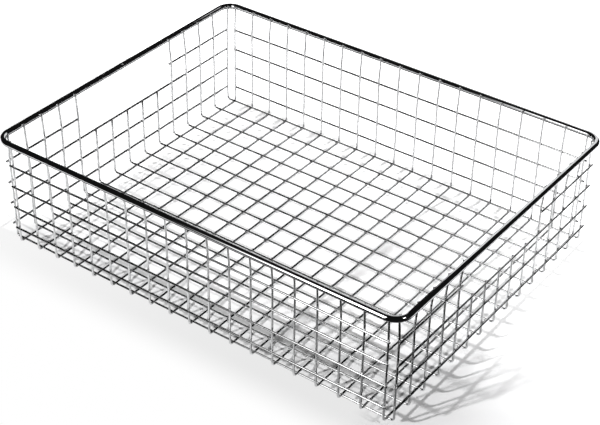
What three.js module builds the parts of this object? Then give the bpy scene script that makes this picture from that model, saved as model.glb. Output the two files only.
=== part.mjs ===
// Breading basket: an open rectangular basket of welded steel wire, hung on a thick rim rod.
// Two layers of U-shaped wires cross on the floor and bend up into the four walls. Straight rails
// run round the outside of the uprights, and both end walls have a hand-hold cut out under the rim.
// Millimetres, +Z up. X runs along the basket, Y across it. The origin is on the surface that the
// basket stands on, under its centre.

import * as THREE from "three";

// Overall size, over the rim
const LENGTH = 492;
const WIDTH = 381;
const HEIGHT = 128;

// Stock
const RIM_DIAMETER = 6.35;
const WIRE_DIAMETER = 2;

// Rim
const RIM_CORNER_RADIUS = 16; // to the middle of the rod

// Mesh
const CROSSWISE_WIRE_COUNT = 19;
const LENGTHWISE_WIRE_COUNT = 15;
const RAIL_ROW_COUNT = 4;
const BEND_RADIUS = 3.5; // to the middle of the wire, where the floor turns up into a wall
const BEND_CLEARANCE = 0.1; // from the seat of the outermost lengthwise wire to the start of the bend
const END_GAP = 8.6; // from the uprights of an end wall to the nearest crosswise wire
const LOW_RAIL_HEIGHT = 18.8; // middle of the lowest rail, above the table
const TOP_RAIL_DROP = 29.4; // from the middle of the rim down to the middle of the top rail
const RAIL_STUB = 2.2; // how far a rail runs on past its last upright

// Uprights, where they lean out to meet the rim
const FLARE = 1.5;
const FLARE_ABOVE_RAIL = 5; // where the lean starts, above the top rail
const FLARE_BELOW_RIM = 3; // where it ends, below the rim rod
const TIP_DROP = 0.6; // tips stop this far below the top of the rim
const CORNER_GAP = 0.3; // between the rim's curved corners and the uprights beside them

// Hand-holds, the same at both ends
const SHORT_WIRE_COUNT = 5; // lengthwise wires cut short in the middle of the wall
const SHORT_ROW = 1; // the rail that the short wires end on, counted down from the top rail
const SHORT_TIP_DROP = 0.5; // short wires stop this far below the top of the rail that they end on
const SHORT_STUB = 1; // how far the short rails run on past the uprights beside the opening

// Facets
const WIRE_SIDES = 8;
const RIM_SIDES = 12;
const BEND_STEPS = 3;
const CORNER_STEPS = 8;

// Sizes that follow
const wireRadius = WIRE_DIAMETER / 2;
const rimRadius = RIM_DIAMETER / 2;
const rimX = LENGTH / 2 - rimRadius; // middle of the rod
const rimY = WIDTH / 2 - rimRadius;
const rimZ = HEIGHT - rimRadius;
const uprightX = rimX - rimRadius - FLARE - wireRadius; // uprights of the end walls
const uprightY = rimY - rimRadius - FLARE - wireRadius; // uprights of the long walls
const railX = uprightX + WIRE_DIAMETER;
const railY = uprightY + WIRE_DIAMETER;
const crosswiseZ = wireRadius; // the lower layer of the floor
const lengthwiseZ = crosswiseZ + WIRE_DIAMETER;
const lastCrosswiseX = uprightX - END_GAP;
const seatHalfWidth = wireRadius * Math.tan(Math.PI / WIRE_SIDES); // of the flat that a wire seats on
const lastLengthwiseY = uprightY - BEND_RADIUS - BEND_CLEARANCE - seatHalfWidth;
const topRailZ = rimZ - TOP_RAIL_DROP;
const tipZ = HEIGHT - TIP_DROP;
const flareStartZ = topRailZ + FLARE_ABOVE_RAIL;
const flareEndZ = rimZ - rimRadius - FLARE_BELOW_RIM;

const X = new THREE.Vector3(1, 0, 0);
const Y = new THREE.Vector3(0, 1, 0);
const Z = new THREE.Vector3(0, 0, 1);

/** Evenly spaced places from -last to +last. */
function spread(count, last) {
  return Array.from({ length: count }, (_, i) => -last + (2 * last * i) / (count - 1));
}

const crosswiseX = spread(CROSSWISE_WIRE_COUNT, lastCrosswiseX);
const lengthwiseY = spread(LENGTHWISE_WIRE_COUNT, lastLengthwiseY);
const rowSpacing = (topRailZ - LOW_RAIL_HEIGHT) / (RAIL_ROW_COUNT - 1);
const railZ = Array.from({ length: RAIL_ROW_COUNT }, (_, row) => topRailZ - row * rowSpacing);
const firstShort = Math.floor((LENGTHWISE_WIRE_COUNT - SHORT_WIRE_COUNT) / 2); // first wire that is cut short
const lastShort = firstShort + SHORT_WIRE_COUNT - 1;

/**
 * A round section as a polygon with flats towards the four neighbours, so that crossing wires seat
 * flat on flat. Each point holds its offset within the rod's plane and square to it.
 */
function section(diameter, sides) {
  const circumradius = diameter / 2 / Math.cos(Math.PI / sides);
  return Array.from({ length: sides }, (_, k) => {
    const angle = ((k + 0.5) * 2 * Math.PI) / sides;
    return { inPlane: circumradius * Math.cos(angle), across: circumradius * Math.sin(angle) };
  });
}

/** The unit vector from one point towards another. */
function direction(from, to) {
  return to.clone().sub(from).normalize();
}

/** The points of an arc that rounds one corner of a path, from its first tangent point to its last. */
function roundedCorner(before, corner, after, radius, steps) {
  const from = direction(corner, before);
  const to = direction(corner, after);
  const halfAngle = from.angleTo(to) / 2;
  const middle = from.clone().add(to).normalize();
  const centre = corner.clone().addScaledVector(middle, radius / Math.sin(halfAngle));
  const start = corner.clone().addScaledVector(from, radius / Math.tan(halfAngle)).sub(centre);
  const axis = to.clone().cross(from).normalize();
  const turn = Math.PI - 2 * halfAngle;
  return Array.from({ length: steps + 1 }, (_, k) =>
    start.clone().applyAxisAngle(axis, (turn * k) / steps).add(centre),
  );
}

/** Triangles of the flat polygon that closes one end of a rod. */
function endCap(first, sides, facesBack) {
  const triangles = [];
  for (let k = 1; k < sides - 1; k++) {
    triangles.push(first, first + (facesBack ? k + 1 : k), first + (facesBack ? k : k + 1));
  }
  return triangles;
}

/**
 * A closed solid: a section carried along a path that lies in one plane, mitred at each point.
 * planeNormal is square to that plane. A closed path joins its last ring to its first.
 */
function rod(path, planeNormal, profile, closed = false) {
  const count = path.length;
  const sides = profile.length;
  const positions = [];
  path.forEach((point, i) => {
    const isStart = i === 0 && !closed;
    const isEnd = i === count - 1 && !closed;
    const leaving = isEnd ? direction(path[i - 1], point) : direction(point, path[(i + 1) % count]);
    const arriving = isStart ? leaving : direction(path.at(i - 1), point);
    const tangent = arriving.clone().add(leaving).normalize();
    const outward = planeNormal.clone().cross(tangent).divideScalar(tangent.dot(leaving));
    profile.forEach(({ inPlane, across }) => {
      const vertex = point.clone().addScaledVector(outward, inPlane).addScaledVector(planeNormal, across);
      positions.push(...vertex.toArray());
    });
  });

  const triangles = [];
  const spans = closed ? count : count - 1;
  for (let i = 0; i < spans; i++) {
    const ring = i * sides;
    const nextRing = ((i + 1) % count) * sides;
    for (let k = 0; k < sides; k++) {
      const after = (k + 1) % sides;
      triangles.push(ring + k, ring + after, nextRing + after);
      triangles.push(ring + k, nextRing + after, nextRing + k);
    }
  }
  if (!closed) {
    triangles.push(...endCap(0, sides, true), ...endCap((count - 1) * sides, sides, false));
  }

  const geometry = new THREE.BufferGeometry();
  geometry.setAttribute("position", new THREE.Float32BufferAttribute(positions, 3));
  geometry.setIndex(triangles);
  const faceted = geometry.toNonIndexed();
  faceted.computeVertexNormals();
  return faceted;
}

/**
 * How far an upright leans out at the rim. Beside a corner the rod curves inwards, so there the
 * upright leans out less, or in, by the depth of the arc at its outer side and a small gap.
 */
function leanAtRim(place, rimHalfSide) {
  const pastTangent = Math.abs(place) + wireRadius - (rimHalfSide - RIM_CORNER_RADIUS);
  if (pastTangent <= 0) return FLARE;
  const innerRadius = RIM_CORNER_RADIUS - rimRadius;
  const depth = innerRadius - Math.sqrt(innerRadius ** 2 - pastTangent ** 2);
  return FLARE - depth - CORNER_GAP;
}

/**
 * A U-shaped wire as a path from tip to tip: down one wall, over the floor and up the other wall.
 * along is the direction of its floor run, and place is the point where that run crosses the middle.
 */
function uWirePath(along, place, half, wallCorners) {
  const at = (reach, z) => place.clone().addScaledVector(along, reach).addScaledVector(Z, z - place.z);
  const leftCorner = at(-half, place.z);
  const rightCorner = at(half, place.z);
  const leftWall = wallCorners.map(([lean, z]) => at(-half - lean, z));
  const rightWall = wallCorners.map(([lean, z]) => at(half + lean, z)).reverse();
  return [
    ...leftWall,
    ...roundedCorner(leftWall.at(-1), leftCorner, rightCorner, BEND_RADIUS, BEND_STEPS),
    ...roundedCorner(leftCorner, rightCorner, rightWall[0], BEND_RADIUS, BEND_STEPS),
    ...rightWall,
  ];
}

/** Lean and height of each point of a full upright, from its tip down to where it runs straight. */
function fullUpright(lean) {
  return [
    [lean, tipZ],
    [lean, flareEndZ],
    [0, flareStartZ],
  ];
}

/** The same for a wire that is cut short under a hand-hold. */
function shortUpright() {
  return [[0, railZ[SHORT_ROW] + wireRadius - SHORT_TIP_DROP]];
}

const wireSection = section(WIRE_DIAMETER, WIRE_SIDES);
const rimSection = section(RIM_DIAMETER, RIM_SIDES);
const basket = new THREE.Group();

/** Adds one piece with a bright plated finish of its own. */
function addPiece(name, geometry, finish) {
  const mesh = new THREE.Mesh(geometry, new THREE.MeshStandardMaterial(finish));
  mesh.name = name;
  basket.add(mesh);
}

const WIRE_FINISH = { color: 0xc9cbcd, metalness: 1, roughness: 0.2 };
const RIM_FINISH = { color: 0xb8babd, metalness: 1, roughness: 0.12 };

/** The rim: one rod round all four sides. */
function addRim() {
  const corners = [
    new THREE.Vector3(-rimX, -rimY, rimZ),
    new THREE.Vector3(rimX, -rimY, rimZ),
    new THREE.Vector3(rimX, rimY, rimZ),
    new THREE.Vector3(-rimX, rimY, rimZ),
  ];
  const path = corners.flatMap((corner, i) =>
    roundedCorner(corners.at(i - 1), corner, corners[(i + 1) % 4], RIM_CORNER_RADIUS, CORNER_STEPS),
  );
  addPiece("rim_rod", rod(path, Z, rimSection, true), RIM_FINISH);
}

/** The lower layer: wires across the floor that become the uprights of the front and back walls. */
function addCrosswiseWires() {
  crosswiseX.forEach((x, i) => {
    const place = new THREE.Vector3(x, 0, crosswiseZ);
    const path = uWirePath(Y, place, uprightY, fullUpright(leanAtRim(x, rimX)));
    addPiece(`crosswise_wire_${i + 1}`, rod(path, X, wireSection), WIRE_FINISH);
  });
}

/** The upper layer: wires along the floor that become the uprights of the end walls. */
function addLengthwiseWires() {
  lengthwiseY.forEach((y, j) => {
    const place = new THREE.Vector3(0, y, lengthwiseZ);
    const isShort = j >= firstShort && j <= lastShort;
    const upright = isShort ? shortUpright() : fullUpright(leanAtRim(y, rimY));
    const path = uWirePath(X, place, uprightX, upright);
    addPiece(`lengthwise_wire_${j + 1}`, rod(path, Y, wireSection), WIRE_FINISH);
  });
}

/** A straight rail between two points. */
function addRail(name, from, to) {
  addPiece(name, rod([from, to], Z, wireSection), WIRE_FINISH);
}

/** Rails of the front and back walls, from the top row down. */
function addLongWallRails() {
  const reach = lastCrosswiseX + wireRadius + RAIL_STUB;
  for (const [wall, y] of [["front", -railY], ["back", railY]]) {
    railZ.forEach((z, row) => {
      addRail(`${wall}_rail_${row + 1}`, new THREE.Vector3(-reach, y, z), new THREE.Vector3(reach, y, z));
    });
  }
}

/** Rails of the end walls: the rows above the one that the short wires end on leave the hand-hold open. */
function addEndWallRails() {
  const reach = lastLengthwiseY + wireRadius + RAIL_STUB;
  const openFront = lengthwiseY[firstShort - 1] + wireRadius + SHORT_STUB;
  const openBack = lengthwiseY[lastShort + 1] - wireRadius - SHORT_STUB;
  for (const [wall, x] of [["left", -railX], ["right", railX]]) {
    railZ.forEach((z, row) => {
      const at = (y) => new THREE.Vector3(x, y, z);
      if (row < SHORT_ROW) {
        addRail(`${wall}_rail_${row + 1}_front`, at(-reach), at(openFront));
        addRail(`${wall}_rail_${row + 1}_back`, at(openBack), at(reach));
      } else {
        addRail(`${wall}_rail_${row + 1}`, at(-reach), at(reach));
      }
    });
  }
}

addRim();
addCrosswiseWires();
addLengthwiseWires();
addLongWallRails();
addEndWallRails();

export default basket;
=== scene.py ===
"""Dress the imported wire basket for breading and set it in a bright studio.

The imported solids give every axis, end and radius. Round plated bars with sheared ends stand
for the faceted solids, and small nuggets of weld metal sit where bars cross. A pale table,
three far lamps, three glowing cards and a dark room light them and make the reflections.
"""

import logging
import math
from collections.abc import Mapping
from dataclasses import dataclass
from enum import Enum

import bpy
import numpy as np
from mathutils import Matrix, Vector


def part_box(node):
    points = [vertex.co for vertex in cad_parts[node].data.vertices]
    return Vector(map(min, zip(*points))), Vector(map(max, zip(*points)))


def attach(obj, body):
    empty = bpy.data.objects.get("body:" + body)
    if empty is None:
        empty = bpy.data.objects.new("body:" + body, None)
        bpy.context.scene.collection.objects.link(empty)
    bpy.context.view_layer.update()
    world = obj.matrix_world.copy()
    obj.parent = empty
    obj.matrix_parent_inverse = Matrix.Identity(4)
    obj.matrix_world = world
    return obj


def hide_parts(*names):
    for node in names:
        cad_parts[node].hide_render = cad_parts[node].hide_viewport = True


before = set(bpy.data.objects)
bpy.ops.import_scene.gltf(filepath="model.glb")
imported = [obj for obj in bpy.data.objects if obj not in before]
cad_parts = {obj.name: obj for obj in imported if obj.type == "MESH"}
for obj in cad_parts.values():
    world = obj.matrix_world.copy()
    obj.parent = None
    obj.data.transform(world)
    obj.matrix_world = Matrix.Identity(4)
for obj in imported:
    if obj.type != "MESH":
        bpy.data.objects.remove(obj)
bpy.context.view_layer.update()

LOG = logging.getLogger("breading_basket")
Array = np.ndarray
Pair = tuple[float, float]
Triple = tuple[float, float, float]
Colour = Triple
Socket = bpy.types.NodeSocket
MM = 0.001
TURN = 2.0 * math.pi
UP = (0.0, 0.0, 1.0)
ACROSS = (0.0, 1.0, 0.0)
WHITE = (1.0, 1.0, 1.0)
BODY = "root"
DRAWN = "drawn"


class Slot(Enum):
    """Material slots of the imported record."""

    WIRE = "plated_wire"
    RIM = "plated_rim"


class Wall(Enum):
    """Walls of the basket, each with the direction that faces out of it."""

    FRONT = (0.0, -1.0, 0.0)
    BACK = (0.0, 1.0, 0.0)
    LEFT = (-1.0, 0.0, 0.0)
    RIGHT = (1.0, 0.0, 0.0)

    @property
    def outward(self) -> Array:
        """Unit vector that points out of the wall."""
        return np.array(self.value)

    @property
    def label(self) -> str:
        """Name of the wall as the nodes spell it."""
        return self.name.lower()


# Shader sheets

class Signal:
    """A number that varies over a surface. Arithmetic on it adds Math nodes."""

    def __init__(self, sheet: "Sheet", socket: Socket) -> None:
        """Keep the sheet that the number is worked out on and the socket that gives it."""
        self.sheet = sheet
        self.socket = socket

    def math(self, operation: str, *operands: "Signal | float") -> "Signal":
        """Add one Math node.

        Args:
            operation: Blender's name of the operation.
            operands: the numbers it takes, in order.

        Returns:
            The result as a signal.
        """
        settings = {"operation": operation}
        node = self.sheet.node("ShaderNodeMath", settings, dict(enumerate(operands)))
        return Signal(self.sheet, node.outputs[0])

    def __add__(self, other: "Signal | float") -> "Signal":
        """Sum."""
        return self.math("ADD", self, other)

    __radd__ = __add__

    def __sub__(self, other: "Signal | float") -> "Signal":
        """Difference."""
        return self.math("SUBTRACT", self, other)

    def __rsub__(self, other: "Signal | float") -> "Signal":
        """Difference from a number on the left."""
        return self.math("SUBTRACT", other, self)

    def __mul__(self, other: "Signal | float") -> "Signal":
        """Product."""
        return self.math("MULTIPLY", self, other)

    __rmul__ = __mul__

    def __truediv__(self, other: "Signal | float") -> "Signal":
        """Quotient."""
        return self.math("DIVIDE", self, other)

    def __abs__(self) -> "Signal":
        """Size without sign."""
        return self.math("ABSOLUTE", self)

    def larger(self, other: "Signal | float") -> "Signal":
        """The larger of two numbers."""
        return self.math("MAXIMUM", self, other)

    def off_step(self, start: float, step: float) -> "Signal":
        """Distance to the nearest of the marks at start plus whole steps."""
        turns = (self - start) / step + 0.5
        return abs(turns.math("FRACT", turns) - 0.5) * step

    def ramp(self, low: float, high: float) -> "Signal":
        """Smooth rise from 0 at low to 1 at high, or a fall where low is the greater.

        Args:
            low: value that gives 0.
            high: value that gives 1.

        Returns:
            The rise as a signal between 0 and 1.
        """
        settings = {"interpolation_type": "SMOOTHSTEP"}
        inputs = {"Value": self, "From Min": low, "From Max": high}
        node = self.sheet.node("ShaderNodeMapRange", settings, inputs)
        return Signal(self.sheet, node.outputs[0])


class Sheet:
    """The node tree of one material or of the world, filled node by node."""

    def __init__(self, tree: bpy.types.NodeTree) -> None:
        """Empty the tree."""
        self.tree = tree
        tree.nodes.clear()

    @classmethod
    def of_material(cls, name: str) -> tuple[bpy.types.Material, "Sheet"]:
        """Make a material and the sheet of its nodes.

        Args:
            name: name of the material.

        Returns:
            The material and its empty sheet.
        """
        material = bpy.data.materials.new(name)
        material.use_nodes = True
        return material, cls(material.node_tree)

    def node(
        self,
        kind: str,
        settings: Mapping[str, object] | None = None,
        inputs: Mapping[str | int, object] | None = None,
    ) -> bpy.types.Node:
        """Add a node, set its settings, then fill its sockets.

        Args:
            kind: Blender's type of the node.
            settings: properties of the node, such as its operation.
            inputs: a value or a link for each socket, by name or number.

        Returns:
            The node.
        """
        node = self.tree.nodes.new(kind)
        for key, value in (settings or {}).items():
            setattr(node, key, value)
        for key, value in (inputs or {}).items():
            source = value.socket if isinstance(value, Signal) else value
            if isinstance(source, Socket):
                self.tree.links.new(source, node.inputs[key])
            else:
                node.inputs[key].default_value = source
        return node

    def signal(self, kind: str, output: str | int, **inputs: object) -> Signal:
        """Add a node that has no settings and take one of its outputs as a number."""
        return Signal(self, self.node(kind, None, inputs).outputs[output])

    def ray(self, output: str) -> Signal:
        """What Light Path says of the ray that meets the surface."""
        return self.signal("ShaderNodeLightPath", output)

    def place(self) -> Socket:
        """Object coordinates."""
        return self.node("ShaderNodeTexCoord").outputs["Object"]

    def drawn(self) -> Socket:
        """Coordinates of a bar before it was bent: across, across and along."""
        return self.node("ShaderNodeAttribute", {"attribute_name": DRAWN}).outputs["Vector"]

    def axes(self, vector: Socket) -> tuple[Signal, Signal, Signal]:
        """The three parts of a vector as numbers."""
        split = self.node("ShaderNodeSeparateXYZ", None, {0: vector})
        return tuple(Signal(self, output) for output in split.outputs)

    def stretched(self, vector: Socket, by: Triple) -> Socket:
        """A vector multiplied axis by axis."""
        node = self.node("ShaderNodeVectorMath", {"operation": "MULTIPLY"}, {0: vector, 1: by})
        return node.outputs[0]

    def noise(self, vector: Socket, scale: float, detail: float) -> Signal:
        """Fractal noise between 0 and 1 about one half."""
        return self.signal("ShaderNodeTexNoise", 0, Vector=vector, Scale=scale, Detail=detail)

    def mixed(self, share: Signal, first: object, second: object) -> Socket:
        """A colour between two colours.

        Args:
            share: 0 gives the first colour and 1 the second.
            first: colour or colour socket.
            second: colour or colour socket.

        Returns:
            The socket of the mixed colour.
        """
        settings = {"data_type": "RGBA"}
        return self.node("ShaderNodeMix", settings, {0: share, 6: first, 7: second}).outputs[2]

    def shader_mix(self, share: Signal, first: object, second: object) -> Socket:
        """A shader between two shaders, by a factor."""
        return self.node("ShaderNodeMixShader", None, {0: share, 1: first, 2: second}).outputs[0]

    def added(self, first: object, second: object) -> Socket:
        """The sum of two shaders."""
        return self.node("ShaderNodeAddShader", None, {0: first, 1: second}).outputs[0]

    def glow(self, level: float, kind: str = "ShaderNodeEmission") -> Socket:
        """White light of an even level, from a surface or from the room."""
        return self.node(kind, None, {"Color": opaque(WHITE), "Strength": level}).outputs[0]

    def patch(self, share: Signal, level: float) -> Socket:
        """White light that reaches its level where the share is 1."""
        return self.shader_mix(share, self.glow(0.0), self.glow(level))

    def end(self, shader: object, kind: str = "ShaderNodeOutputMaterial") -> None:
        """Give a shader to the material or to the room."""
        self.node(kind, None, {0: shader})


def opaque(colour: Colour) -> tuple[float, float, float, float]:
    """A colour with full opacity, as sockets take it."""
    return (*colour, 1.0)


# Finishes

@dataclass(frozen=True)
class MeshPitch:
    """Spacing of the welds, by which a finish finds the metal that their heat dulled."""

    crosswise: float
    lengthwise: float
    lowest_rail: float
    rail_step: float
    floor_top: float


@dataclass(frozen=True)
class PlatedFinish:
    """Bright plate over drawn steel: die lines along the bar, clouds, specks and weld heat.

    The fields that have a value here are alike on all three finishes. They say how far weld heat
    reaches, how fine the noises are, and what share of the clouds, lines, pits and heat goes
    into the deep tone, the haze and the height.
    """

    name: str
    bright: Colour
    deep: Colour
    smooth: float
    hazy: float
    line_across: float
    line_along: float
    line_height: float
    cloud_scale: float
    speck_scale: float
    speck_share: float
    weld_dulling: float
    weld_reach: float = 2.6 * MM
    weld_core: float = 0.4
    floor_margin: float = 1.3
    line_detail: float = 2.0
    cloud_detail: float = 3.0
    speck_detail: float = 1.0
    speck_edge: float = 0.04
    deep_clouds: Pair = (0.35, 0.75)
    hazy_clouds: Pair = (0.30, 0.80)
    cloud_depth: float = 0.5
    pit_depth: float = 0.5
    heat_depth: float = 0.8
    cloud_haze: float = 0.6
    line_haze: float = 0.3
    pit_haze: float = 0.8
    pit_sink: float = 0.7

    def heat(self, sheet: Sheet, pitch: MeshPitch) -> Signal:
        """Share of weld heat: 1 at a crossing of bars, 0 further off than the reach.

        A point is at a crossing where two of its three coordinates are near a bar of their own
        set: x near a crosswise bar, y near a lengthwise one, z near a rail.

        Args:
            sheet: sheet of the finish.
            pitch: spacing of the bars.

        Returns:
            The share as a signal.
        """
        x, y, z = sheet.axes(sheet.place())
        fade = (self.weld_reach, self.weld_core * self.weld_reach)
        near_x = x.off_step(0.0, pitch.crosswise).ramp(*fade)
        near_y = y.off_step(0.0, pitch.lengthwise).ramp(*fade)
        near_z = z.off_step(pitch.lowest_rail, pitch.rail_step).ramp(*fade)
        low = z.ramp(self.floor_margin * pitch.floor_top, pitch.floor_top)
        walls = (near_x * near_z).larger(near_y * near_z)
        return walls.larger(near_x * near_y * low)

    def material(self, pitch: MeshPitch) -> bpy.types.Material:
        """Make the node material.

        Args:
            pitch: spacing of the welds.

        Returns:
            The material.
        """
        material, sheet = Sheet.of_material(self.name)
        place = sheet.place()
        stretch = (self.line_across, self.line_across, self.line_along)
        lines = sheet.noise(sheet.stretched(sheet.drawn(), stretch), 1.0, self.line_detail)
        clouds = sheet.noise(place, self.cloud_scale, self.cloud_detail)
        specks = sheet.noise(place, self.speck_scale, self.speck_detail)
        pits = specks.ramp(1.0 - self.speck_share, 1.0 - self.speck_share + self.speck_edge)
        dulled = self.heat(sheet, pitch) * self.weld_dulling
        tone = clouds.ramp(*self.deep_clouds) * self.cloud_depth + pits * self.pit_depth
        tone = tone + dulled * self.heat_depth
        haze = clouds.ramp(*self.hazy_clouds) * self.cloud_haze + lines * self.line_haze
        haze = haze + pits * self.pit_haze + dulled
        height = lines - pits * self.pit_sink
        bump_inputs = {"Strength": 1.0, "Distance": self.line_height, "Height": height}
        surface = sheet.node(
            "ShaderNodeBsdfPrincipled",
            None,
            {
                "Base Color": sheet.mixed(tone, opaque(self.bright), opaque(self.deep)),
                "Metallic": 1.0,
                "Roughness": haze * (self.hazy - self.smooth) + self.smooth,
                "Normal": sheet.node("ShaderNodeBump", None, bump_inputs).outputs[0],
            },
        )
        sheet.end(surface.outputs[0])
        return material


WIRE_PLATE = PlatedFinish(
    name="bright_plated_wire",
    bright=(0.74, 0.745, 0.75),
    deep=(0.48, 0.48, 0.485),
    smooth=0.04,
    hazy=0.14,
    line_across=2600.0,
    line_along=35.0,
    line_height=0.010 * MM,
    cloud_scale=90.0,
    speck_scale=1300.0,
    speck_share=0.30,
    weld_dulling=0.5,
)
RIM_PLATE = PlatedFinish(
    name="bright_plated_rim",
    bright=(0.72, 0.725, 0.735),
    deep=(0.48, 0.48, 0.485),
    smooth=0.03,
    hazy=0.10,
    line_across=1500.0,
    line_along=25.0,
    line_height=0.008 * MM,
    cloud_scale=60.0,
    speck_scale=900.0,
    speck_share=0.28,
    weld_dulling=0.3,
)
WELD_PLATE = PlatedFinish(
    name="plated_weld_metal",
    bright=(0.66, 0.66, 0.66),
    deep=(0.34, 0.335, 0.33),
    smooth=0.18,
    hazy=0.42,
    line_across=900.0,
    line_along=900.0,
    line_height=0.030 * MM,
    cloud_scale=420.0,
    speck_scale=1500.0,
    speck_share=0.36,
    weld_dulling=0.2,
)


# Surfaces

@dataclass
class Surface:
    """Points and faces of a closed surface, with each point's place on the straight bar."""

    points: Array
    quads: Array
    triangles: Array
    drawn: Array

    def to_object(self, name: str, sharp_degrees: float = 50.0) -> bpy.types.Object:
        """Make a smooth-shaded mesh object at the origin.

        Args:
            name: name of the object and of its mesh.
            sharp_degrees: edges that turn more than this stay sharp.

        Returns:
            The object, linked to the scene.
        """
        mesh = bpy.data.meshes.new(name)
        faces = self.quads.tolist() + self.triangles.tolist()
        mesh.from_pydata(self.points.tolist(), [], faces)
        mesh.polygons.foreach_set("use_smooth", np.ones(len(faces), dtype=bool))
        mesh.set_sharp_from_angle(angle=math.radians(sharp_degrees))
        attribute = mesh.attributes.new(DRAWN, "FLOAT_VECTOR", "POINT")
        attribute.data.foreach_set("vector", self.drawn.astype(np.float32).ravel())
        mesh.update()
        return linked(name, mesh)


def linked(name: str, data: bpy.types.ID) -> bpy.types.Object:
    """Make an object of some data and link it to the scene.

    Args:
        name: name of the object.
        data: its mesh, lamp or camera.

    Returns:
        The object.
    """
    made = bpy.data.objects.new(name, data)
    bpy.context.scene.collection.objects.link(made)
    return made


def unit(vectors: Array) -> Array:
    """Vectors scaled to length one, row by row."""
    return vectors / np.linalg.norm(vectors, axis=-1, keepdims=True)


def ring_quads(rings: int, sides: int, closed: bool = False) -> Array:
    """Faces of a tube: each joins two neighbours of a ring to the same two of the next ring.

    Args:
        rings: number of rings.
        sides: points in each ring.
        closed: whether the last ring joins the first.

    Returns:
        The corners of each face, one face a row.
    """
    index = np.arange(rings * sides).reshape(rings, sides)
    turned = np.roll(index, -1, axis=1)
    following = np.roll(index, -1, axis=0)
    quads = np.stack([index, turned, np.roll(turned, -1, axis=0), following], axis=-1)
    return (quads if closed else quads[:-1]).reshape(-1, 4)


def pole_triangles(rings: int, sides: int) -> Array:
    """Fans that close both ends of a tube, whose two poles come after the points of its rings.

    Args:
        rings: number of rings.
        sides: points in each ring.

    Returns:
        The corners of each face, one face a row.
    """
    ring = np.arange(sides)
    turned = np.roll(ring, -1)
    last = (rings - 1) * sides
    pole = np.full(sides, rings * sides)
    return np.concatenate([
        np.stack([pole, turned, ring], axis=-1),
        np.stack([pole + 1, last + ring, last + turned], axis=-1),
    ])


def divided(knots: Array, spacing: float) -> Array:
    """Divide each leg of a polyline into equal parts that are no longer than a spacing.

    Args:
        knots: points of the polyline, one a row.
        spacing: longest part.

    Returns:
        The points of the divided polyline.
    """
    lengths = np.linalg.norm(np.diff(knots, axis=0), axis=1)
    counts = np.maximum(1, np.ceil(lengths / spacing)).astype(int)
    leg = np.repeat(np.arange(len(counts)), counts)
    step = np.arange(counts.sum()) - np.repeat(np.cumsum(counts) - counts, counts)
    share = (step / counts[leg])[:, None]
    inner = knots[leg] * (1.0 - share) + knots[leg + 1] * share
    return np.concatenate([inner, knots[-1:]])


def rounded_path(corners: Array, radii: Array, steps: int, spacing: float) -> Array:
    """Round the inner corners of a polyline and divide its straight runs.

    An arc of radius r touches both legs at r over the tangent of half the angle between them.
    Its points turn evenly about the arc's centre from one touching point to the other.

    Args:
        corners: points of the polyline.
        radii: radius at each inner corner.
        steps: parts of each arc.
        spacing: longest part of a straight run.

    Returns:
        The points of the path.
    """
    inner = corners[1:-1]
    before = unit(corners[:-2] - inner)
    after = unit(corners[2:] - inner)
    half = 0.5 * np.arccos(np.clip(np.sum(before * after, axis=1), -1.0, 1.0))
    reach = (radii / np.tan(half))[:, None]
    centre = inner + unit(before + after) * (radii / np.sin(half))[:, None]
    first = inner + before * reach - centre
    last = inner + after * reach - centre
    turn = (math.pi - 2.0 * half)[:, None]
    share = np.linspace(0.0, 1.0, steps + 1)
    from_first = (np.sin((1.0 - share) * turn) / np.sin(turn))[..., None]
    from_last = (np.sin(share * turn) / np.sin(turn))[..., None]
    arcs = centre[:, None] + from_first * first[:, None] + from_last * last[:, None]
    return divided(np.concatenate([corners[:1], arcs.reshape(-1, 3), corners[-1:]]), spacing)


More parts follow.
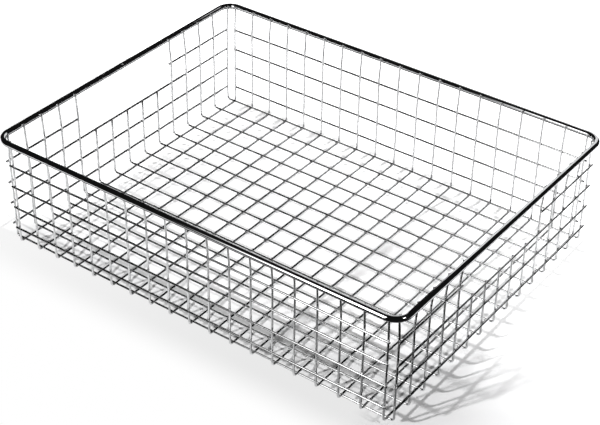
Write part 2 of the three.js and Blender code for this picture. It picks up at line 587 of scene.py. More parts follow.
@dataclass(frozen=True)
class RoundBar:
    """A round bar that follows a path in one plane.

    A point of the surface is the path's point plus the radius times (cosine of the angle times
    the bar's side direction plus sine of the angle times the plane's normal). The side direction
    is the normal crossed with the direction of the path.
    """

    path: Array
    normal: Triple
    radius: float
    sides: int
    closed: bool = False
    edge_round: float = 0.25 * MM
    edge_steps: int = 3
    swell: Array | None = None

    def stations(self) -> tuple[Array, Array]:
        """Centres and radii of the rings, with a rounded edge at each sheared end.

        The edge is a quarter circle: the ring goes forward by the edge radius times the sine of
        its angle and shrinks by the edge radius times one minus the cosine.

        Returns:
            Centres of the rings and their radii.
        """
        if self.closed:
            scale = np.ones(len(self.path)) if self.swell is None else self.swell
            return self.path, self.radius * scale
        angle = np.linspace(0.0, 0.25 * TURN, self.edge_steps + 1)
        forward = (self.edge_round * (np.sin(angle) - 1.0))[:, None]
        shrunk = self.radius - self.edge_round * (1.0 - np.cos(angle))
        start = self.path[0] - unit(self.path[1] - self.path[0]) * forward[::-1]
        end = self.path[-1] + unit(self.path[-1] - self.path[-2]) * forward
        middle = self.path[1:-1]
        radii = np.concatenate([shrunk[::-1], np.full(len(middle), self.radius), shrunk])
        return np.concatenate([start, middle, end]), radii

    def directions(self, centres: Array) -> tuple[Array, Array]:
        """Direction of the path at each ring, midway between the steps before and after it.

        Args:
            centres: centres of the rings.

        Returns:
            Unit directions, one a row, and the length of the path up to each ring.
        """
        if self.closed:
            ahead = np.roll(centres, -1, axis=0) - centres
            steps = unit(ahead)
            leg = np.linalg.norm(ahead, axis=1)
            return unit(steps + np.roll(steps, 1, axis=0)), np.cumsum(leg) - leg
        ahead = np.diff(centres, axis=0)
        steps = unit(ahead)
        along = np.concatenate([[0.0], np.cumsum(np.linalg.norm(ahead, axis=1))])
        return unit(np.concatenate([steps[:1], steps[:-1] + steps[1:], steps[-1:]])), along

    def surface(self) -> Surface:
        """Work out the closed surface.

        Returns:
            The surface, with poles on both ends of an open bar.
        """
        centres, radii = self.stations()
        tangent, along = self.directions(centres)
        normal = np.array(self.normal)
        side = unit(np.cross(normal, tangent))
        angle = np.linspace(0.0, TURN, self.sides, endpoint=False)
        round_side = np.cos(angle)[None, :, None] * side[:, None, :]
        round_normal = np.sin(angle)[None, :, None] * normal
        points = centres[:, None, :] + radii[:, None, None] * (round_side + round_normal)
        points = points.reshape(-1, 3)
        flat = np.stack(np.broadcast_arrays(
            radii[:, None] * np.cos(angle), radii[:, None] * np.sin(angle), along[:, None]
        ), axis=-1).reshape(-1, 3)
        rings = len(centres)
        quads = ring_quads(rings, self.sides, self.closed)
        if self.closed:
            return Surface(points, quads, np.zeros((0, 3), int), flat)
        poles = np.stack([centres[0], centres[-1]])
        pole_places = np.array([[0.0, 0.0, along[0]], [0.0, 0.0, along[-1]]])
        return Surface(
            np.concatenate([points, poles]),
            quads,
            pole_triangles(rings, self.sides),
            np.concatenate([flat, pole_places]),
        )


@dataclass(frozen=True)
class Wander:
    """Small sideways waves of hand-set wire, a long one and a short one, in millimetres."""

    long_wave: Pair = (170.0, 260.0)
    short_wave: Pair = (60.0, 95.0)
    long_share: float = 0.7
    short_share: float = 0.3

    def moved(
        self, path: Array, direction: Triple, size: float, draw: np.random.Generator
    ) -> Array:
        """Let a drawn bar wander sideways.

        The sideways step is the size times the sum of two sines of the length along the bar, a
        long one and a short one, each with a phase of its own.

        Args:
            path: points of the bar's axis.
            direction: sideways direction.
            size: largest step.
            draw: source of the lengths and phases.

        Returns:
            The points of the wandering axis.
        """
        legs = np.linalg.norm(np.diff(path, axis=0), axis=1)
        along = np.concatenate([[0.0], np.cumsum(legs)])
        long_wave = draw.uniform(*self.long_wave) * MM
        short_wave = draw.uniform(*self.short_wave) * MM
        phases = draw.uniform(0.0, TURN, 2)
        slow = np.sin(TURN * along / long_wave + phases[0])
        quick = np.sin(TURN * along / short_wave + phases[1])
        step = size * (self.long_share * slow + self.short_share * quick)
        return path + step[:, None] * np.array(direction)


WANDER = Wander()


# Plan

def numbered(stem: str) -> list[str]:
    """Names of the nodes that start with a stem and end in a number, in order of the number."""
    found = [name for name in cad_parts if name.rpartition("_")[0] == stem]
    return sorted(found, key=lambda name: int(name.rpartition("_")[2]))


def corners_of(node: str) -> Array:
    """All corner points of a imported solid.

    Args:
        node: name of the solid's node.

    Returns:
        The points, one a row.
    """
    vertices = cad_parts[node].data.vertices
    points = np.zeros(3 * len(vertices))
    vertices.foreach_get("co", points)
    return points.reshape(-1, 3)


def rails_of(wall: str = "") -> list[str]:
    """Names of the rails, of one wall or of all of them, in alphabetical order."""
    return sorted(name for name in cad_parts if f"{wall}_rail_" in name)


def box_of(node: str) -> Array:
    """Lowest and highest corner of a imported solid, as two rows."""
    low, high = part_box(node)
    return np.array([low, high])


@dataclass(frozen=True)
class BasketPlan:
    """Axes, ends and radii of the bars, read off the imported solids.

    Welded wires sink into each other by about a tenth of their diameter, so the drawn wires are
    that much thicker than the solids, which only touch.
    """

    wire_radius: float
    rim_radius: float
    rim_half_x: float
    rim_half_y: float
    rim_height: float
    crosswise: list[str]
    lengthwise: list[str]
    crosswise_x: Array
    lengthwise_y: Array
    rail_heights: Array
    upright_x: float
    upright_y: float
    thickening: float = 1.10
    tip_band: float = 0.1 * MM
    floor_layers: float = 3.0

    @classmethod
    def from_frame(cls) -> "BasketPlan":
        """Read the plan off the frame.

        Returns:
            The plan.
        """
        rim = box_of("rim_rod")
        rim_radius = 0.5 * (rim[1, 2] - rim[0, 2])
        crosswise = numbered("crosswise_wire")
        lengthwise = numbered("lengthwise_wire")
        across = box_of(crosswise[0])
        wire_radius = 0.5 * (across[1, 0] - across[0, 0])
        rails = [box_of(node).mean(axis=0) for node in numbered("front_rail")]
        end_rail = box_of(numbered("left_rail")[0]).mean(axis=0)
        return cls(
            wire_radius=wire_radius,
            rim_radius=rim_radius,
            rim_half_x=rim[1, 0] - rim_radius,
            rim_half_y=rim[1, 1] - rim_radius,
            rim_height=rim[1, 2] - rim_radius,
            crosswise=crosswise,
            lengthwise=lengthwise,
            crosswise_x=np.array([box_of(node)[:, 0].mean() for node in crosswise]),
            lengthwise_y=np.array([box_of(node)[:, 1].mean() for node in lengthwise]),
            rail_heights=np.array([rail[2] for rail in rails]),
            upright_x=abs(end_rail[0]) - 2.0 * wire_radius,
            upright_y=abs(rails[0][1]) - 2.0 * wire_radius,
        )

    @property
    def drawn_radius(self) -> float:
        """Radius of a drawn wire."""
        return self.thickening * self.wire_radius

    def bent_wires(self) -> list[tuple[int, str]]:
        """Every bent wire's axis, 1 across the basket and 0 along it, and the name of its node."""
        across = [(1, node) for node in self.crosswise]
        return across + [(0, node) for node in self.lengthwise]

    def tip(self, node: str, axis: int) -> tuple[float, float]:
        """Where the tip of a bent wire ends.

        Args:
            node: name of the wire's node.
            axis: 0 for a wire along the basket, 1 for one across it.

        Returns:
            Distance of the tip's axis from the middle of the basket, and the tip's height.
        """
        points = corners_of(node)
        top = points[:, 2].max()
        at_tip = points[:, 2] > top - self.tip_band
        return float(np.abs(points[at_tip, axis]).mean()), float(top)

    def pitch(self) -> MeshPitch:
        """Spacing of the welds for the finishes.

        Returns:
            The spacing, with the height up to which the welds of the floor dull the metal.
        """
        steps = np.diff(np.sort(self.rail_heights))
        return MeshPitch(
            crosswise=float(np.diff(self.crosswise_x).mean()),
            lengthwise=float(np.diff(self.lengthwise_y).mean()),
            lowest_rail=float(self.rail_heights.min()),
            rail_step=float(steps.mean()),
            floor_top=2.0 * self.floor_layers * self.wire_radius,
        )


def dressed(
    surface: Surface, name: str, material: bpy.types.Material, slot: Slot, *nodes: str
) -> bpy.types.Object:
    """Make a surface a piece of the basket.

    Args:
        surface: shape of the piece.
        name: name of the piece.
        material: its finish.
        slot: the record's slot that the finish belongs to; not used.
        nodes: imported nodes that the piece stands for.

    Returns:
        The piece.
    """
    piece = surface.to_object(name)
    piece.data.materials.append(material)
    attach(piece, BODY)
    if nodes:
        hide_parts(*nodes)
    LOG.info("%s: %d points, %d faces", name, len(surface.points), len(piece.data.polygons))
    return piece


# Sub-assemblies

@dataclass
class RimRod:
    """The thick rod round the top, butt welded in the middle of the left hand-hold."""

    plan: BasketPlan
    corner_radius: float = 16.0 * MM
    sides: int = 32
    corner_steps: int = 14
    spacing: float = 24.0 * MM
    weld_half: float = 4.0 * MM
    weld_spacing: float = 0.3 * MM
    flash: float = 0.07
    flash_half: float = 1.3 * MM
    groove: float = 0.05
    groove_half: float = 0.45 * MM

    def path(self) -> Array:
        """Axis of the rod: a rectangle with round corners that starts at the butt weld.

        Returns:
            The points of the axis, closely spaced at the weld.
        """
        x, y, z = self.plan.rim_half_x, self.plan.rim_half_y, self.plan.rim_height
        near = self.weld_half
        at_weld = divided(np.array([[-x, near, z], [-x, -near, z]]), self.weld_spacing)
        corners = np.array([
            [-x, -near, z], [-x, -y, z], [x, -y, z], [x, y, z], [-x, y, z], [-x, near, z]
        ])
        radii = np.full(len(corners) - 2, self.corner_radius)
        around = rounded_path(corners, radii, self.corner_steps, self.spacing)
        return np.concatenate([at_weld[:-1], around[:-1]])

    def swell(self, path: Array) -> Array:
        """Radius of the rod over its plain radius: a low ring of flash with a groove in it.

        Each is a bell curve of the distance to the weld, which only the left side has.

        Args:
            path: axis of the rod.

        Returns:
            The factor at each point of the path.
        """
        on_left = np.isclose(path[:, 0], -self.plan.rim_half_x)
        ring = self.flash * np.exp(-((path[:, 1] / self.flash_half) ** 2))
        cut = self.groove * np.exp(-((path[:, 1] / self.groove_half) ** 2))
        return 1.0 + np.where(on_left, ring - cut, 0.0)

    def build(self, material: bpy.types.Material) -> None:
        """Make the rod and dress it.

        Args:
            material: its finish.
        """
        path = self.path()
        bar = RoundBar(path, UP, self.plan.rim_radius, self.sides, True, swell=self.swell(path))
        dressed(bar.surface(), "round_rim_rod", material, Slot.RIM, "rim_rod")


@dataclass
class BentWires:
    """The wires that cross the floor and stand up as the uprights of two walls.

    Tips differ a little in height. Those of the front and right walls end lower by a sink.
    """

    plan: BasketPlan
    bend_radius: float = 3.5 * MM
    flare_radius: float = 24.0 * MM
    flare_above_rail: float = 5.0 * MM
    flare_below_rim: float = 3.0 * MM
    sides: int = 16
    bend_steps: int = 8
    spacing: float = 14.0 * MM
    wander: float = 0.22 * MM
    tip_spread: float = 0.5 * MM
    short_tip_spread: float = 0.1 * MM
    tip_range: Pair = (-0.5, 1.0)
    tip_sink: float = 2.0 * MM
    seed: int = 41

    def profile(self, upright: float, tip_out: float, tip_ends: Array, floor: float) -> Array:
        """Corners of a bent wire as distance from the middle and height, one end to the other.

        Args:
            upright: distance of the uprights from the middle.
            tip_out: distance of the tips from the middle.
            tip_ends: height of the two tips.
            floor: height of the floor run's axis.

        Returns:
            Corners of the wire, one a row.
        """
        full = tip_ends.min() > self.plan.rim_height - self.plan.rim_radius
        if not full:
            return np.array([
                [-upright, tip_ends[0]], [-upright, floor], [upright, floor], [upright, tip_ends[1]]
            ])
        start = self.plan.rail_heights.max() + self.flare_above_rail
        end = self.plan.rim_height - self.plan.rim_radius - self.flare_below_rim
        return np.array([
            [-tip_out, tip_ends[0]], [-tip_out, end], [-upright, start], [-upright, floor],
            [upright, floor], [upright, start], [tip_out, end], [tip_out, tip_ends[1]],
        ])

    def radii(self, corners: Array) -> Array:
        """Bend radius at each inner corner: tight at the floor, easy at the flare."""
        at_floor = np.isclose(corners[1:-1, 1], corners[:, 1].min())
        return np.where(at_floor, self.bend_radius, self.flare_radius)

    def bar(self, node: str, axis: int, draw: np.random.Generator) -> RoundBar:
        """Work out one wire.

        Args:
            node: name of the wire's node.
            axis: 0 for a wire along the basket, 1 for one across it.
            draw: source of small differences.

        Returns:
            The wire as a round bar.
        """
        plan = self.plan
        upright = plan.upright_x if axis == 0 else plan.upright_y
        floor = box_of(node)[0, 2] + plan.wire_radius
        tip_out, tip = plan.tip(node, axis)
        is_full = tip > plan.rim_height
        spread = self.tip_spread if is_full else self.short_tip_spread
        ends = tip - draw.uniform(*self.tip_range, 2) * spread
        if is_full:
            ends[1 - axis] -= self.tip_sink
        flat = self.profile(upright, tip_out, ends, floor)
        corners = np.zeros((len(flat), 3))
        corners[:, axis] = flat[:, 0]
        corners[:, 1 - axis] = box_of(node)[:, 1 - axis].mean()
        corners[:, 2] = flat[:, 1]
        path = rounded_path(corners, self.radii(flat), self.bend_steps, self.spacing)
        sideways = tuple(np.eye(3)[1 - axis])
        path = WANDER.moved(path, sideways, self.wander, draw)
        return RoundBar(path, sideways, plan.drawn_radius, self.sides)

    def build(self, material: bpy.types.Material) -> None:
        """Make all the bent wires and dress them.

        Args:
            material: their finish.
        """
        draw = np.random.default_rng(self.seed)
        for axis, node in self.plan.bent_wires():
            surface = self.bar(node, axis, draw).surface()
            dressed(surface, f"round_{node}", material, Slot.WIRE, node)


@dataclass
class WallRails:
    """The straight wires welded along the outside of the walls."""

    plan: BasketPlan
    sides: int = 16
    spacing: float = 14.0 * MM
    wander: float = 0.18 * MM
    seed: int = 42

    def bar(self, node: str, draw: np.random.Generator) -> RoundBar:
        """Work out one rail from the box of its node.

        Args:
            node: name of the rail's node.
            draw: source of small differences.

        Returns:
            The rail as a round bar.
        """
        box = box_of(node)
        axis = int(np.argmax(box[1] - box[0]))
        ends = np.tile(box.mean(axis=0), (2, 1))
        ends[:, axis] = box[:, axis]
        path = WANDER.moved(divided(ends, self.spacing), UP, self.wander, draw)
        return RoundBar(path, UP, self.plan.drawn_radius, self.sides)

    def build(self, material: bpy.types.Material) -> None:
        """Make all the rails and dress them.

        Args:
            material: their finish.
        """
        draw = np.random.default_rng(self.seed)
        for node in rails_of():
            dressed(self.bar(node, draw).surface(), f"round_{node}", material, Slot.WIRE, node)


@dataclass
class SpotWelds:
    """Nuggets of weld metal squeezed out where bars cross."""

    plan: BasketPlan
    wall_half: float = 1.15 * MM
    floor_half: float = 1.75 * MM
    lobes: float = 0.16
    pockets: int = 4
    half_thickness: float = 0.42 * MM
    rim_half_height: float = 1.9 * MM
    rim_half_width: float = 1.25 * MM
    rim_half_thickness: float = 0.55 * MM
    spread: float = 0.18
    sides: int = 8
    bands: int = 4
    seed: int = 43

    def lens(self, half: Triple) -> Array:
        """Points of one lens-shaped nugget: rings from pole to pole, then the poles.

        With a latitude from pole to pole and an angle round the axis, a point lies across the
        axis by the cosine of the latitude times the half widths, swollen towards the four
        pockets between the bars by the cosine of four times the angle, and along the axis by
        the sine of the latitude times the half thickness.

        Args:
            half: half width, half height and half thickness.

        Returns:
            The points about the nugget's middle, one a row.
        """
        latitude = np.linspace(-0.25 * TURN, 0.25 * TURN, self.bands + 1)[1:-1, None]
        angle = np.linspace(0.0, TURN, self.sides, endpoint=False) + 0.5 * TURN / self.pockets
        across = np.cos(latitude) * (1.0 - self.lobes * np.cos(self.pockets * angle))
        rings = np.stack(np.broadcast_arrays(
            across * np.cos(angle) * half[0],
            across * np.sin(angle) * half[1],
            np.sin(latitude) * half[2],
        ), axis=-1)
        poles = np.array([[0.0, 0.0, -half[2]], [0.0, 0.0, half[2]]])
        return np.concatenate([rings.reshape(-1, 3), poles])

    def nuggets(
        self,
        centres: Array,
        outward: Array,
        upward: Triple,
        half: Triple,
        draw: np.random.Generator,
    ) -> Surface:
        """All the nuggets of one set, in whole arrays: the lens, scaled, turned and moved.

        Args:
            centres: middle of each nugget, one a row.
            outward: direction of the nuggets' axes, one for all or one a row.
            upward: direction of the nuggets' height.
            half: half width, half height and half thickness.
            draw: source of small differences.

        Returns:
            All the nuggets as one surface.
        """
        count = len(centres)
        outward = np.broadcast_to(outward, centres.shape)
        upward = np.broadcast_to(upward, centres.shape)
        scale = 1.0 + self.spread * draw.uniform(-1.0, 1.0, (count, 1, 1))
        local = self.lens(half) * scale
        basis = np.stack([np.cross(upward, outward), upward, outward], axis=1)
        points = (centres[:, None, :] + local @ basis).reshape(-1, 3)
        starts = (np.arange(count) * local.shape[1])[:, None, None]
        rings = self.bands - 1
        quads = (ring_quads(rings, self.sides) + starts).reshape(-1, 4)
        triangles = (pole_triangles(rings, self.sides) + starts).reshape(-1, 3)
        return Surface(points, quads, triangles, points)

    def floor_welds(self, draw: np.random.Generator) -> Surface:
        """Welds where the lengthwise wires lie on the crosswise ones.

        Args:
            draw: source of small differences.

        Returns:
            The welds as one surface.
        """
        x, y = np.meshgrid(self.plan.crosswise_x, self.plan.lengthwise_y)
        height = np.full(x.size, 2.0 * self.plan.wire_radius)
        centres = np.stack([x.ravel(), y.ravel(), height], axis=1)
        half = (self.floor_half, self.floor_half, self.half_thickness)
        return self.nuggets(centres, np.array(UP), ACROSS, half, draw)

    def wall_centres(self, wall: Wall) -> Array:
        """Where the rails of a wall touch its uprights.

        Args:
            wall: the wall.

        Returns:
            The crossings, one a row.
        """
        plan = self.plan
        axis = 1 - int(np.argmax(np.abs(wall.outward)))
        uprights = (plan.crosswise_x, plan.lengthwise_y)[axis]
        out = (plan.upright_y, plan.upright_x)[axis] + plan.wire_radius
        found = []
        for node in rails_of(wall.label):
            box = box_of(node)
            on_rail = (uprights > box[0, axis]) & (uprights < box[1, axis])
            centres = np.zeros((int(on_rail.sum()), 3))
            centres[:, axis] = uprights[on_rail]
            centres[:, 2] = box[:, 2].mean()
            found.append(centres)
        return np.concatenate(found) + out * wall.outward

    def wall_welds(self, wall: Wall, draw: np.random.Generator) -> Surface:
        """Welds between the rails and the uprights of a wall."""
        half = (self.wall_half, self.wall_half, self.half_thickness)
        return self.nuggets(self.wall_centres(wall), wall.outward, UP, half, draw)

    def rim_welds(self, draw: np.random.Generator) -> Surface:
        """Welds between the tips of the full-height wires and the inner side of the rim.

        Args:
            draw: source of small differences.

        Returns:
            The welds as one surface.
        """
        plan = self.plan
        centres = []
        outward = []
        for axis, node in plan.bent_wires():
            out, top = plan.tip(node, axis)
            if top < plan.rim_height:
                continue
            for sign in (-1.0, 1.0):
                centre = np.zeros(3)
                centre[axis] = sign * (out + plan.wire_radius)
                centre[1 - axis] = box_of(node)[:, 1 - axis].mean()
                centre[2] = plan.rim_height
                centres.append(centre)
                outward.append(sign * np.eye(3)[axis])
        half = (self.rim_half_width, self.rim_half_height, self.rim_half_thickness)
        return self.nuggets(np.array(centres), np.array(outward), UP, half, draw)

    def build(self, material: bpy.types.Material) -> None:
        """Make all the welds and dress them, one piece for the floor, each wall and the rim.

        Args:
            material: their finish.
        """
        draw = np.random.default_rng(self.seed)
        dressed(self.floor_welds(draw), "floor_welds", material, Slot.WIRE)
        for wall in Wall:
            dressed(self.wall_welds(wall, draw), f"{wall.label}_wall_welds", material, Slot.WIRE)
        dressed(self.rim_welds(draw), "rim_welds", material, Slot.RIM)


# Studio

@dataclass
class PhotoCamera:
    """The camera at the photograph's angle, fitted to the crossings of the mesh."""

    azimuth: float = 35.677
    elevation: float = 34.929
    roll: float = 1.055
    distance: float = 1.565274
    target: Triple = (0.022021, -0.029945, 0.060)
    lens: float = 92.3865
    sensor: float = 36.0
    clip: Pair = (0.05, 60.0)

    def build(self) -> None:
        """Make the camera and give it to the scene."""
        angles = (self.azimuth, self.elevation, self.roll)
        around, up_angle, turn = (math.radians(angle) for angle in angles)
        level = math.cos(up_angle)
        back = Vector((math.sin(around) * level, -math.cos(around) * level, math.sin(up_angle)))
        right = Vector((math.cos(around), math.sin(around), 0.0))
        up = back.cross(right)
        right_turned = math.cos(turn) * right + math.sin(turn) * up
        up_turned = math.cos(turn) * up - math.sin(turn) * right
        data = bpy.data.cameras.new("photo_camera")
        data.sensor_fit = "HORIZONTAL"
        data.sensor_width = self.sensor
        data.lens = self.lens
        data.clip_start, data.clip_end = self.clip
        camera = linked("photo_camera", data)
        axes = Matrix((right_turned, up_turned, back)).transposed().to_4x4()
        camera.matrix_world = Matrix.Translation(Vector(self.target) + self.distance * back) @ axes
        bpy.context.scene.camera = camera


@dataclass(frozen=True)
class SunLamp:
    """A far lamp that lights the table evenly and draws shadows, unseen in the metal.

    The share of white that it gives the table is its strength times the sine of its height
    over pi.
    """

    name: str
    towards: Triple
    spread_degrees: float
    table_share: float

    def build(self) -> None:
        """Hang the lamp."""
        toward = Vector(self.towards).normalized()
        data = bpy.data.lights.new(self.name, "SUN")
        data.angle = math.radians(self.spread_degrees)
        data.energy = self.table_share * math.pi / toward.z
        lamp = linked(self.name, data)
        lamp.matrix_world = (-toward).to_track_quat("-Z", "Y").to_matrix().to_4x4()
        lamp.visible_glossy = False


def stage_sheet(
    name: str, corners: Array, faces: Array, material: bpy.types.Material
) -> bpy.types.Object:
    """A stage piece.

    Args:
        name: name of the piece.
        corners: its corners, one a row.
        faces: the corners of each face in order, one face a row.
        material: its finish.

    Returns:
        The piece, linked to the scene.
    """
    mesh = bpy.data.meshes.new(name)
    mesh.from_pydata(corners.tolist(), [], faces.tolist())
    mesh.materials.append(material)
    piece = linked(name, mesh)
    return piece


@dataclass(frozen=True)
class GlowCard:
    """A glowing flat card that only the metal sees. Its glow rises along x over a ramp."""

    name: str
    level: float
    rise: Pair
    corners: tuple[Triple, ...]

    def build(self) -> None:
        """Make the card."""
        material, sheet = Sheet.of_material(self.name)
        x, _, _ = sheet.axes(sheet.place())
        sheet.end(sheet.patch(x.ramp(*self.rise), self.level))
        face = np.arange(len(self.corners))[None, :]
        piece = stage_sheet(self.name, np.array(self.corners), face, material)
        piece.visible_camera = False
        piece.visible_diffuse = False
        piece.visible_shadow = False


LAMPS = (
    SunLamp("front_left_lamp", towards=(-0.95, -1.85, 1.0), spread_degrees=3.0, table_share=0.60),
    SunLamp("right_lamp", towards=(1.27, -0.11, 1.0), spread_degrees=1.4, table_share=0.36),
    SunLamp("top_lamp", towards=(0.0, 0.05, 1.0), spread_degrees=12.0, table_share=0.08),
)
CARDS = (
    GlowCard(
        "front_soft_box",
        level=7.0,
        rise=(-0.295, 0.05),
        corners=(
            (-0.31, -0.60, 0.16), (0.12, -0.60, 0.16),
            (0.12, -0.60, 0.70), (-0.31, -0.60, 0.70),
        ),
    ),
    GlowCard(
        "back_card",
        level=1.0,
        rise=(-1.0, -0.75),
        corners=(
            (-0.75, 0.85, 0.0), (0.20, 0.85, 0.0), (0.20, 0.85, 0.60), (0.10, 0.85, 0.80),
            (0.0, 0.85, 0.88), (-0.25, 0.85, 0.86), (-0.45, 0.85, 0.80), (-0.75, 0.85, 0.45),
        ),
    ),
    GlowCard(
        "right_card",
        level=6.0,
        rise=(0.0, 0.5),
        corners=(
            (1.266, -0.336, 0.761), (1.266, -0.076, 0.761),
            (1.106, -0.076, 0.965), (1.106, -0.336, 0.965),
        ),
    ),
)
CORNER_WAY = (0.5, -0.866)


def towards_corner(x: Signal, y: Signal) -> Signal:
    """Distance from the middle of the table in the direction of the front right corner."""
    return x * CORNER_WAY[0] + y * CORNER_WAY[1]


@dataclass(frozen=True)
class TableLook:
    """What the camera sees of the table, which is over-exposed in the photograph.

    Light and shade are painted on by place. White light is painted on where weak shadows vanish: a
    little everywhere but in a dip along the front wall, more in the basket away from its front
    right corner, in the back half, behind the basket, beside it at the right back and at the left.
    Before the front wall the table is painted an even white, which hides the shadows there. A
    painted soft shade lies at the foot of the front wall and another in the front right corner.
    Each pair is a
    ramp in metres: none at its first value and all at its second.
    """

    # Painted white light, added by place.
    lift: float = 0.06
    dip_front: Pair = (-0.228, -0.180)
    dip_back: Pair = (-0.10, -0.03)
    beside_left: Pair = (-0.34, -0.25)
    beside_right: Pair = (0.34, 0.25)
    middle_lift: float = 0.30
    middle_front: Pair = (-0.160, -0.120)
    middle_fade: Pair = (0.20, 0.09)
    outer_lift: float = 0.55
    outer_back: Pair = (0.192, 0.205)
    outer_right: Pair = (0.245, 0.26)
    outer_right_back: Pair = (-0.11, 0.035)
    back_lift: float = 0.16
    back_fade: Pair = (0.01, 0.09)
    left_lift: float = 0.03
    left_side: Pair = (-0.245, -0.275)
    left_front_lift: float = 0.25
    left_front: Pair = (-0.05, -0.16)
    # Painted even white before the front wall, which hides the shadows there.
    calm_level: float = 1.0
    calm_front: Pair = (-0.163, -0.171)
    calm_right: Pair = (0.23, 0.19)
    # Painted soft shade at the foot of the front wall.
    painted_foot_shade: float = 0.20
    foot_front: Pair = (-0.235, -0.185)
    foot_back: Pair = (-0.08, -0.13)
    foot_left: Pair = (-0.60, 0.20)
    # Painted soft shade in the front right corner.
    painted_corner_shade: float = 0.20
    corner_fade: Pair = (0.11, 0.24)
    corner_front: Pair = (-0.195, -0.170)
    corner_right: Pair = (0.31, 0.24)

    def beside(self, x: Signal) -> Signal:
        """Share that is 1 along the basket and fades out beside it."""
        return x.ramp(*self.beside_left) * x.ramp(*self.beside_right)

    def lifted(self, x: Signal, y: Signal, lit: Socket) -> Socket:
        """Add the painted white light to the lit table.

        Args:
            x: place along the basket.
            y: place across the basket.
            lit: shader of the lit table.

        Returns:
            The sum as a shader.
        """
        dip = y.ramp(*self.dip_front) * (1.0 - y.ramp(*self.dip_back)) * self.beside(x)
        middle = towards_corner(x, y).ramp(*self.middle_fade) * y.ramp(*self.middle_front)
        right_back = x.ramp(*self.outer_right) * y.ramp(*self.outer_right_back)
        left = x.ramp(*self.left_side)
        lifts = (
            (1.0 - dip, self.lift),
            (middle, self.middle_lift),
            (y.ramp(*self.outer_back).larger(right_back), self.outer_lift),
            (y.ramp(*self.back_fade), self.back_lift),
            (left, self.left_lift),
            (left * y.ramp(*self.left_front), self.left_front_lift),
        )
        sheet = x.sheet
        for share, level in lifts:
            lit = sheet.added(lit, sheet.patch(share, level))
        return lit

    def shade(self, x: Signal, y: Signal) -> Signal:
        """Share of the painted soft shade.

        Args:
            x: place along the basket.
            y: place across the basket.

        Returns:
            The share as a signal.
        """
        foot = y.ramp(*self.foot_front) * y.ramp(*self.foot_back) * x.ramp(*self.foot_left)
        corner = towards_corner(x, y).ramp(*self.corner_fade) * y.ramp(*self.corner_front)
        corner = corner * x.ramp(*self.corner_right) * self.painted_corner_shade
        return corner.larger(foot * self.beside(x) * self.painted_foot_shade)

    def shader(self, x: Signal, y: Signal, lit: Socket) -> Socket:
        """Add the painted light to the lit table, lay the painted even white over it and darken
        both with the painted shade.

        Args:
            x: place along the basket.
            y: place across the basket.
            lit: shader of the lit table.

        Returns:
            What the camera sees, as a shader.
        """
        sheet = x.sheet
        calm = y.ramp(*self.calm_front) * x.ramp(*self.calm_right) * x.ramp(*self.beside_left)
        pale = sheet.shader_mix(calm, self.lifted(x, y, lit), sheet.glow(self.calm_level))
        return sheet.shader_mix(self.shade(x, y), pale, sheet.glow(0.0))


@dataclass(frozen=True)
class TableMirror:
    """What the metal shows of the table, painted dark by place towards a dark room.

    The slant of a ray that comes from the metal is 0 straight down and 1 level with the table.
    The length of the ray and its slant tell from how high it comes. The table's reflection is
    painted dark far towards the front right corner, past the right wall, where rays are shallow
    unless they come from the rim, and where they are steep unless they are very short. Outside the
    front and right walls the two slants have ramps of their own.
    """

    facing_blend: float = 0.5
    corner_fade: Pair = (0.21, 0.345)
    right_fade: Pair = (0.27, 0.30)
    right_edge: Pair = (0.240, 0.255)
    right_reach: Pair = (0.235, 0.205)
    right_back: Pair = (0.04, -0.05)
    front_edge: Pair = (-0.185, -0.200)
    shallow_fade: Pair = (0.57, 0.69)
    front_shallow: Pair = (0.45, 0.53)
    steep_fade: Pair = (0.41, 0.33)
    front_steep: Pair = (0.345, 0.257)
    steep_reach: Pair = (0.016, 0.028)
    steep_share: float = 0.88
    rim_reach: Pair = (0.110, 0.118)
    rim_back: Pair = (-0.01, -0.05)
    rim_front: Pair = (-0.44, -0.40)

    def painted_dark_share(self, x: Signal, y: Signal) -> Signal:
        """Share of the table that the metal doesn't show: there its reflection is painted dark.

        Args:
            x: place along the basket.
            y: place across the basket.

        Returns:
            The share as a signal.
        """
        slant = x.sheet.signal("ShaderNodeLayerWeight", "Facing", Blend=self.facing_blend)
        length = x.sheet.ray("Ray Length")
        height = length * (1.0 - slant)
        right = length.ramp(*self.right_reach) * y.ramp(*self.right_back)
        front = y.ramp(*self.front_edge).larger(x.ramp(*self.right_edge) * right)
        steep = (1.0 - front) * slant.ramp(*self.steep_fade) + front * slant.ramp(*self.front_steep)
        steep = steep * length.ramp(*self.steep_reach) * self.steep_share
        shallow = slant.ramp(*self.shallow_fade).larger(front * slant.ramp(*self.front_shallow))
        from_rim = height.ramp(*self.rim_reach) * y.ramp(*self.rim_back) * y.ramp(*self.rim_front)
        corner = towards_corner(x, y).ramp(*self.corner_fade)
        beyond = corner.larger(x.ramp(*self.right_fade) * right)
        return beyond.larger(shallow * (1.0 - from_rim)).larger(steep)


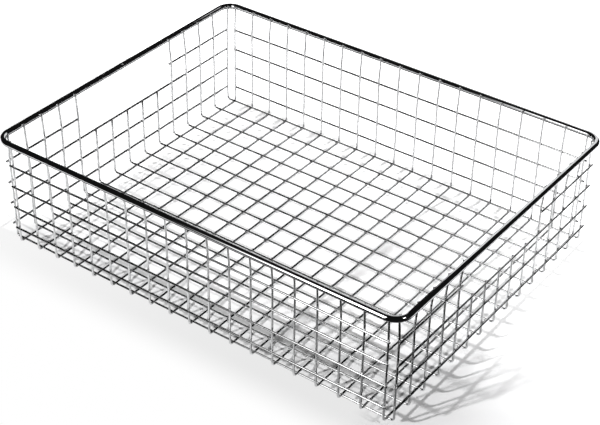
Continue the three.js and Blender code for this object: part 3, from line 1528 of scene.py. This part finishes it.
@dataclass
class Studio:
    """Pale table, three lamps, three cards that the metal shows and a dark room."""

    table_half: float = 8.0
    fine_half: float = 0.30
    fine_lines: int = 81
    table_drop: float = 0.2 * MM
    table_fall: float = 8.0 * MM
    fall_half: Pair = (0.237, 0.182)
    fall_corner: int = 4
    fall_power: int = 5
    table_colour: Colour = (0.86, 0.86, 0.865)
    look: TableLook = TableLook()
    mirror: TableMirror = TableMirror()
    # Share of the table's painted light and shade that the metal sees.
    mirror_lift: float = 0.50
    room_dark: float = 0.008
    room_fill: float = 0.06
    room_seen: float = 1.0

    def table_material(self) -> bpy.types.Material:
        """White table that keeps shadows, with painted light and shade of its own for the camera
        and, in part, for the metal.

        Returns:
            The material.
        """
        material, sheet = Sheet.of_material("pale_table")
        x, y, _ = sheet.axes(sheet.place())
        seen = sheet.ray("Is Camera Ray")
        mirrored = sheet.ray("Is Glossy Ray")
        colour = {"Color": opaque(self.table_colour)}
        lit = sheet.node("ShaderNodeBsdfDiffuse", None, colour).outputs[0]
        # The camera sees the painted light and shade in full, the metal by the mirror share.
        looks = seen + mirrored * self.mirror_lift
        pale = sheet.shader_mix(looks, lit, self.look.shader(x, y, lit))
        dark = sheet.glow(self.room_dark)
        # The metal's reflection of the table is painted dark by place, slant and ray length.
        sheet.end(sheet.shader_mix(mirrored * self.mirror.painted_dark_share(x, y), pale, dark))
        return material

    def table(self) -> None:
        """Lay the table, which falls away from the middle of the basket towards its walls.

        The fall grows with the fifth power of a rounded-rectangle distance, the fourth root of
        the sum of the fourth powers of both ways, and stays the same outside the walls.
        """
        near = np.linspace(-self.fine_half, self.fine_half, self.fine_lines)
        along = np.concatenate([[-self.table_half], near, [self.table_half]])
        x, y = np.meshgrid(along, along, indexing="ij")
        power = self.fall_corner
        total = (x / self.fall_half[0]) ** power + (y / self.fall_half[1]) ** power
        reach = np.minimum(total ** (1.0 / power), 1.0)
        z = -self.table_drop - self.table_fall * reach ** self.fall_power
        points = np.stack([x, y, z], axis=-1).reshape(-1, 3)
        index = np.arange(x.size).reshape(x.shape)
        quads = np.stack([index[:-1, :-1], index[1:, :-1], index[1:, 1:], index[:-1, 1:]], axis=-1)
        piece = stage_sheet("pale_floor", points, quads.reshape(-1, 4), self.table_material())
        upward = np.tile(UP, (len(points), 1))
        piece.data.normals_split_custom_set_from_vertices(upward.tolist())

    def room(self) -> None:
        """White for the camera, dark for the metal and a low fill for everything else."""
        world = bpy.data.worlds.new("studio_room")
        world.use_nodes = True
        sheet = Sheet(world.node_tree)
        levels = (self.room_fill, self.room_dark, self.room_seen)
        fill, dark, white = (sheet.glow(level, "ShaderNodeBackground") for level in levels)
        unseen = sheet.shader_mix(sheet.ray("Is Glossy Ray"), fill, dark)
        both = sheet.shader_mix(sheet.ray("Is Camera Ray"), unseen, white)
        sheet.end(both, "ShaderNodeOutputWorld")
        bpy.context.scene.world = world

    def build(self) -> None:
        """Set up the whole studio."""
        self.table()
        for light in LAMPS + CARDS:
            light.build()
        self.room()
        bpy.context.scene.view_settings.view_transform = "Standard"


def main() -> None:
    """Build the basket piece by piece, then the studio and the camera."""
    logging.basicConfig(level=logging.INFO, format="%(name)s: %(message)s")
    plan = BasketPlan.from_frame()
    pitch = plan.pitch()
    wire_plate = WIRE_PLATE.material(pitch)
    PhotoCamera().build()
    RimRod(plan).build(RIM_PLATE.material(pitch))
    BentWires(plan).build(wire_plate)
    WallRails(plan).build(wire_plate)
    SpotWelds(plan).build(WELD_PLATE.material(pitch))
    Studio().build()


if __name__ == "__main__":
    main()
